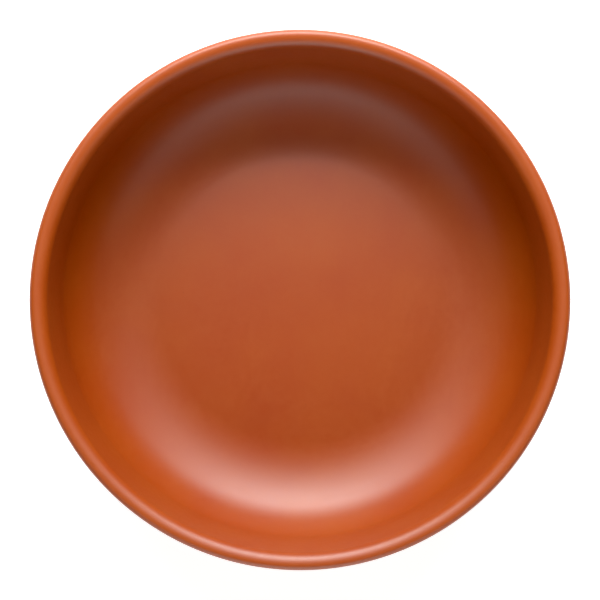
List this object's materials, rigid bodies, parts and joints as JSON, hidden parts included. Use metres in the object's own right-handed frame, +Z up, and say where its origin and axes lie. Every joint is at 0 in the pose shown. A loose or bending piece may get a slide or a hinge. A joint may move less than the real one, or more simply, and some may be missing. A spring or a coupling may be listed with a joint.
{
  "type": "low bowl",
  "caption": "Low round stoneware bowl with a wide cove, a steep wall, a rounded lip and a bare foot ring, glazed in satin terracotta orange; it holds food or small things.",
  "frame": {"origin": "centre of the foot ring, on the surface that the bowl stands on", "axes": "+Z up along the bowl's axis, out of its mouth; X and Y are any two level directions, because the bowl is round"},
  "size_m": [0.2, 0.2, 0.057],
  "materials": {
    "stoneware_clay": "matte",
    "terracotta_glaze": "satin"
  },
  "bodies": {
    "root": {"clay_body": "stoneware_clay", "glaze_coat": "terracotta_glaze", "base_glaze": "terracotta_glaze"}
  },
  "joints": []
}
